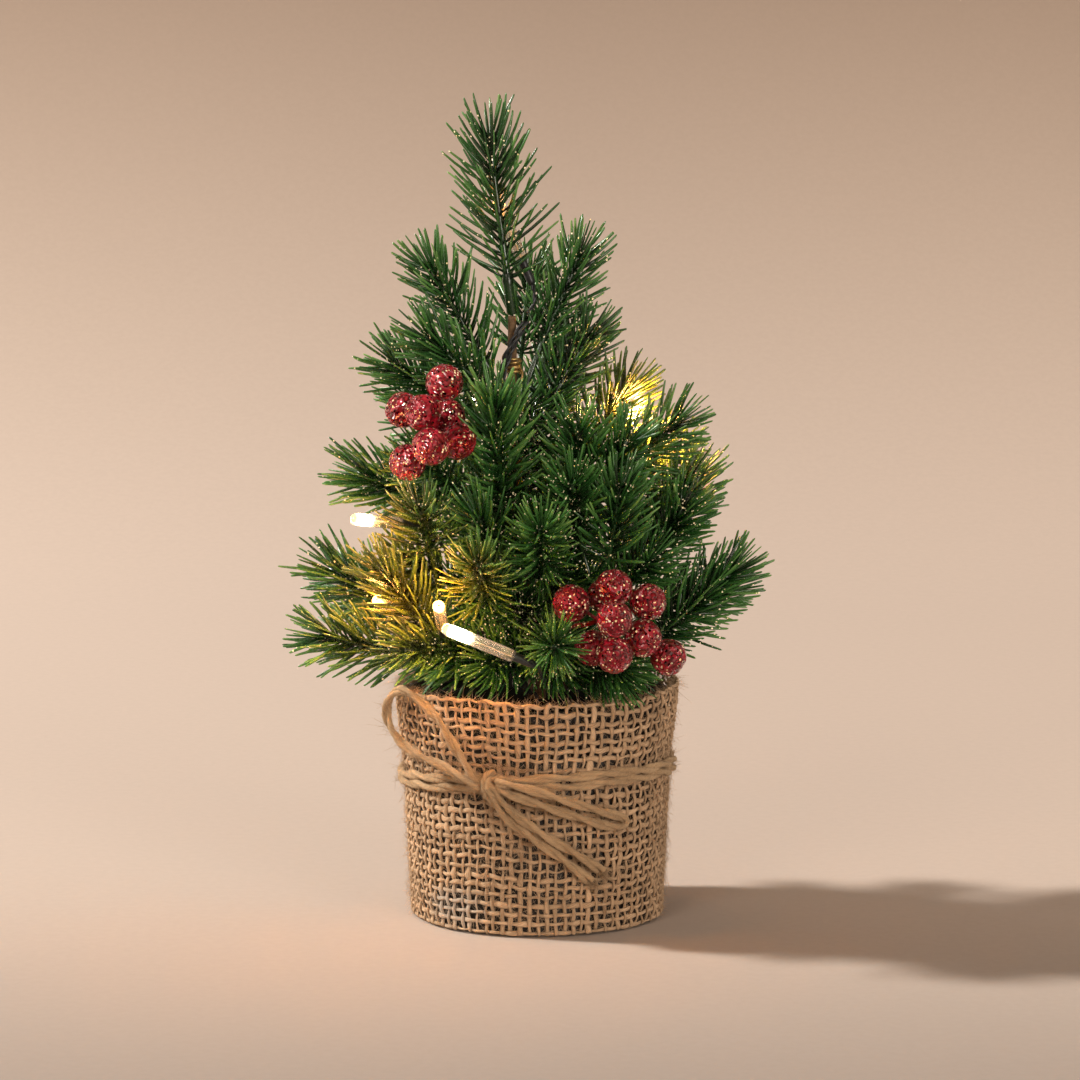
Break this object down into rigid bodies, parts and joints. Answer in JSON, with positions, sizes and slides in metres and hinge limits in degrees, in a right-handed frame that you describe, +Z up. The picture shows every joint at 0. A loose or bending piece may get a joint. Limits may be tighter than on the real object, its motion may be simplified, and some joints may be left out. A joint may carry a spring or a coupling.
{
  "type": "artificial tabletop tree",
  "caption": "Small artificial fir tree with bendable needle branches, battery micro lights and berry picks, in a burlap-wrapped pot with a jute bow.",
  "frame": {"origin": "centre of the pot on the flat underside of the base plate", "axes": "+Z up along the trunk, -Y towards the viewer of the bow and berries, +X to the viewer's right"},
  "size_m": [0.1929, 0.1675, 0.3183],
  "materials": {
    "pot": "matte",
    "burlap": "matte",
    "base": "satin",
    "cell": "satin",
    "contact": "satin",
    "switch": "satin",
    "board": "satin",
    "knob": "satin",
    "ballast": "matte",
    "foam": "matte",
    "trunk": "matte",
    "wire": "satin",
    "needles": "satin",
    "cable": "satin",
    "lamp": "gloss",
    "berry": "gloss",
    "twine": "matte"
  },
  "bodies": {
    "root": {"pot_shell": "pot", "burlap_wrap": "burlap", "base_plate": "base", "battery_1": "cell", "battery_spring_1": "contact", "battery_2": "cell", "battery_spring_2": "contact", "cell_bridge_plate": "contact", "terminal_minus": "contact", "terminal_plus": "contact", "switch_housing": "switch", "timer_board": "board", "ballast_block": "ballast", "foam_filler": "foam", "trunk_pole": "trunk", "binding_wire": "wire", "light_cable": "cable", "berry_pick_right": "berry", "berry_pick_left": "berry", "twine_turn_upper": "twine", "twine_turn_lower": "twine", "twine_knot": "twine", "bow_loop_left": "twine", "bow_loop_right": "twine", "bow_tail_upper": "twine", "bow_tail_lower": "twine"},
    "crown_left": {"branch_crown_left": "needles"},
    "crown_right": {"branch_crown_right": "needles"},
    "crown_front": {"branch_crown_front": "needles"},
    "crown_back": {"branch_crown_back": "needles"},
    "upper_left": {"branch_upper_left": "needles"},
    "upper_right": {"branch_upper_right": "needles", "lamp_right": "lamp"},
    "upper_front": {"branch_upper_front": "needles"},
    "upper_front_right": {"branch_upper_front_right": "needles"},
    "upper_back": {"branch_upper_back": "needles", "lamp_back_high": "lamp"},
    "middle_left": {"branch_middle_left": "needles"},
    "middle_right": {"branch_middle_right": "needles"},
    "middle_front_right": {"branch_middle_front_right": "needles"},
    "middle_front": {"branch_middle_front": "needles"},
    "middle_back": {"branch_middle_back": "needles"},
    "lower_left": {"branch_lower_left": "needles", "lamp_small_left": "lamp"},
    "lower_right": {"branch_lower_right": "needles"},
    "lower_front": {"branch_lower_front": "needles", "lamp_small_front": "lamp"},
    "lower_front_left": {"branch_lower_front_left": "needles", "lamp_left": "lamp"},
    "lower_back": {"branch_lower_back": "needles", "lamp_back_low": "lamp"},
    "bottom_left": {"branch_bottom_left": "needles"},
    "bottom_right": {"branch_bottom_right": "needles"},
    "bottom_front": {"branch_bottom_front": "needles", "lamp_low_front": "lamp"},
    "bottom_back": {"branch_bottom_back": "needles"},
    "leader": {"branch_leader": "needles", "lamp_top": "lamp"},
    "door": {"battery_door": "base"},
    "knob": {"switch_knob": "knob"}
  },
  "joints": [
    {"name": "crown_left_bend", "type": "hinge", "parent": "root", "child": "crown_left", "pos_m": [-0.01303, -0.00032, 0.19], "axis": [-0.1602, 0.9871, 0], "range_deg": [-8, 6]},
    {"name": "crown_right_bend", "type": "hinge", "parent": "root", "child": "crown_right", "pos_m": [-0.00643, 0.00198, 0.2], "axis": [0.3615, -0.9324, 0], "range_deg": [-10, 5]},
    {"name": "crown_front_bend", "type": "hinge", "parent": "root", "child": "crown_front", "pos_m": [-0.0114, -0.00317, 0.196], "axis": [-0.5313, 0.8472, 0], "range_deg": [-10, 14]},
    {"name": "crown_back_bend", "type": "hinge", "parent": "root", "child": "crown_back", "pos_m": [-0.00867, 0.00352, 0.203], "axis": [0.9736, -0.2281, 0], "range_deg": [-10, 14]},
    {"name": "upper_left_bend", "type": "hinge", "parent": "root", "child": "upper_left", "pos_m": [-0.01246, 0, 0.176], "axis": [0.0731, 0.9973, 0], "range_deg": [-10, 6]},
    {"name": "upper_right_bend", "type": "hinge", "parent": "root", "child": "upper_right", "pos_m": [-0.00453, 0.00077, 0.176], "axis": [0.1535, -0.9882, 0], "range_deg": [-10, 14]},
    {"name": "upper_front_bend", "type": "hinge", "parent": "root", "child": "upper_front", "pos_m": [-0.0081, -0.00411, 0.16], "axis": [-0.9801, 0.1987, 0], "range_deg": [-10, 14]},
    {"name": "upper_front_right_bend", "type": "hinge", "parent": "root", "child": "upper_front_right", "pos_m": [-0.00465, -0.00258, 0.168], "axis": [-0.8685, -0.4957, 0], "range_deg": [-10, 14]},
    {"name": "upper_back_bend", "type": "hinge", "parent": "root", "child": "upper_back", "pos_m": [-0.00722, 0.00357, 0.182], "axis": [0.9344, -0.3562, 0], "range_deg": [-10, 14]},
    {"name": "middle_left_bend", "type": "hinge", "parent": "root", "child": "middle_left", "pos_m": [-0.01074, -0.00095, 0.154], "axis": [-0.0717, 0.9974, 0], "range_deg": [-10, 14]},
    {"name": "middle_right_bend", "type": "hinge", "parent": "root", "child": "middle_right", "pos_m": [-0.00284, -0.00111, 0.158], "axis": [-0.1608, -0.987, 0], "range_deg": [-10, 14]},
    {"name": "middle_front_right_bend", "type": "hinge", "parent": "root", "child": "middle_front_right", "pos_m": [-0.00198, -0.00331, 0.14], "axis": [-0.794, -0.6079, 0], "range_deg": [-10, 14]},
    {"name": "middle_front_bend", "type": "hinge", "parent": "root", "child": "middle_front", "pos_m": [-0.00318, -0.00451, 0.132], "axis": [-0.9981, -0.0619, 0], "range_deg": [-10, 14]},
    {"name": "middle_back_bend", "type": "hinge", "parent": "root", "child": "middle_back", "pos_m": [-0.00662, 0.00433, 0.15], "axis": [0.9736, 0.2281, 0], "range_deg": [-10, 14]},
    {"name": "lower_left_bend", "type": "hinge", "parent": "root", "child": "lower_left", "pos_m": [-0.00729, -0.00017, 0.118], "axis": [0.0609, 0.9981, 0], "range_deg": [-10, 14]},
    {"name": "lower_right_bend", "type": "hinge", "parent": "root", "child": "lower_right", "pos_m": [0.001, 0.00041, 0.128], "axis": [0.1126, -0.9936, 0], "range_deg": [-10, 14]},
    {"name": "lower_front_bend", "type": "hinge", "parent": "root", "child": "lower_front", "pos_m": [-0.00519, -0.00418, 0.122], "axis": [-0.9721, 0.2346, 0], "range_deg": [-10, 14]},
    {"name": "lower_front_left_bend", "type": "hinge", "parent": "root", "child": "lower_front_left", "pos_m": [-0.00573, -0.00295, 0.112], "axis": [-0.5965, 0.8026, 0], "range_deg": [-10, 10]},
    {"name": "lower_back_bend", "type": "hinge", "parent": "root", "child": "lower_back", "pos_m": [0.00002, 0.00369, 0.122], "axis": [0.7896, -0.6137, 0], "range_deg": [-10, 14]},
    {"name": "bottom_left_bend", "type": "hinge", "parent": "root", "child": "bottom_left", "pos_m": [-0.0055, -0.00111, 0.098], "axis": [-0.1541, 0.9881, 0], "range_deg": [-8, 8]},
    {"name": "bottom_right_bend", "type": "hinge", "parent": "root", "child": "bottom_right", "pos_m": [0.00342, -0.00079, 0.108], "axis": [-0.0486, -0.9988, 0], "range_deg": [-10, 14]},
    {"name": "bottom_front_bend", "type": "hinge", "parent": "root", "child": "bottom_front", "pos_m": [0.00009, -0.00494, 0.101], "axis": [-0.9967, -0.081, 0], "range_deg": [-10, 5]},
    {"name": "bottom_back_bend", "type": "hinge", "parent": "root", "child": "bottom_back", "pos_m": [-0.00337, 0.00421, 0.098], "axis": [0.8386, 0.5447, 0], "range_deg": [-10, 14]},
    {"name": "leader_bend", "type": "hinge", "parent": "root", "child": "leader", "pos_m": [-0.0096, 0, 0.2356], "axis": [0, 1, 0], "range_deg": [-10, 10]},
    {"name": "battery_door_hinge", "type": "hinge", "parent": "root", "child": "door", "pos_m": [0, 0.03291, 0.00125], "axis": [1, 0, 0], "range_deg": [0, 75]},
    {"name": "switch_slide", "type": "slide", "parent": "root", "child": "knob", "axis": [1, 0, 0], "range_m": [0, 0.004]}
  ]
}
